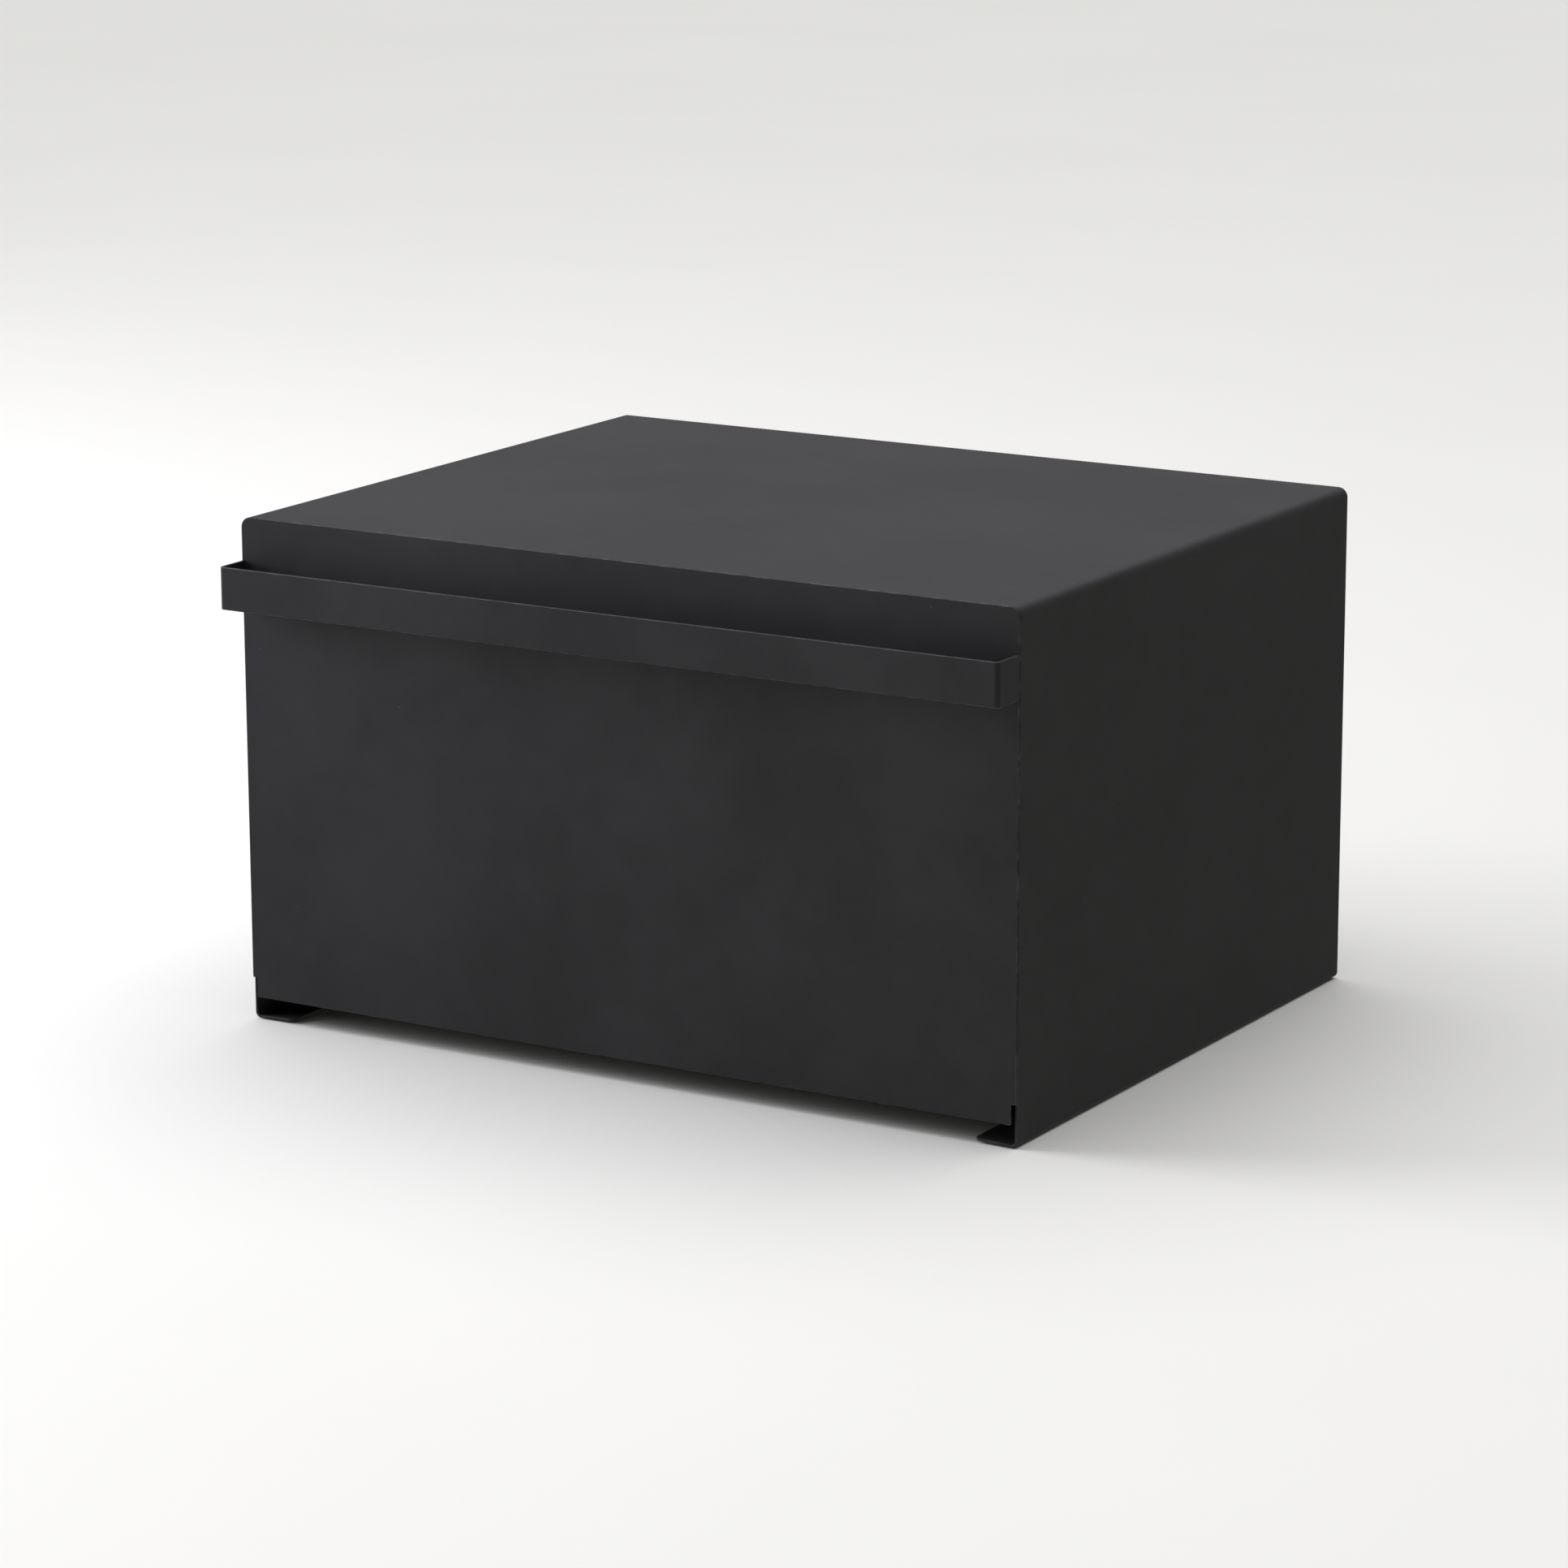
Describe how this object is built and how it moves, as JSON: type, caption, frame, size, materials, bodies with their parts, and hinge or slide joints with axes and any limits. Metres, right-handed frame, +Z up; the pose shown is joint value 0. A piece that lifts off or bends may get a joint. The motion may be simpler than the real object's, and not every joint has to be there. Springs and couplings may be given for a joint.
{
  "type": "flap-front steel storage box",
  "caption": "Low black sheet-steel storage box on two folded foot flanges, with a full-width drop-down door and a flat strip handle across it.",
  "frame": {"origin": "on the surface the box stands on, under the middle of its outline (handle included)", "axes": "+X to the right seen from the front, +Y to the back, +Z up; the door is at the front (-Y), closed at rest"},
  "size_m": [0.43, 0.359, 0.253],
  "materials": {
    "powder_coat": "fine-textured black powder coat, satin matt",
    "zinc_plated_steel": "bright zinc plating",
    "black_plastic": "moulded black plastic",
    "ferrite": "sintered dark grey ferrite",
    "nylon": "natural nylon",
    "silicone_rubber": "soft dark silicone"
  },
  "bodies": {
    "cabinet": {"case_shell": "powder_coat", "back_panel": "powder_coat", "floor_panel": "powder_coat", "front_rail": "powder_coat", "hinge_bracket_left": "powder_coat", "hinge_bracket_right": "powder_coat", "bracket_screws": "zinc_plated_steel", "pivot_pin_left": "zinc_plated_steel", "pivot_pin_right": "zinc_plated_steel", "pin_clip_left": "zinc_plated_steel", "pin_clip_right": "zinc_plated_steel", "catch_housing_left": "black_plastic", "catch_housing_right": "black_plastic", "catch_magnet_left": "ferrite", "catch_magnet_right": "ferrite", "pole_plates_left": "zinc_plated_steel", "pole_plates_right": "zinc_plated_steel", "catch_screws": "zinc_plated_steel", "rail_bumper_left": "silicone_rubber", "rail_bumper_right": "silicone_rubber", "foot_pad_front_left": "silicone_rubber", "foot_pad_front_right": "silicone_rubber", "foot_pad_rear_left": "silicone_rubber", "foot_pad_rear_right": "silicone_rubber"},
    "door": {"door_panel": "powder_coat", "handle_bar": "powder_coat", "hinge_ear_left": "powder_coat", "hinge_ear_right": "powder_coat", "hinge_bush_left": "nylon", "hinge_bush_right": "nylon"}
  },
  "joints": [
    {"name": "door_hinge", "type": "hinge", "parent": "cabinet", "child": "door", "pos_m": [0, -0.1543, 0.0165], "axis": [1, 0, 0], "range_deg": [0, 87.3]}
  ]
}
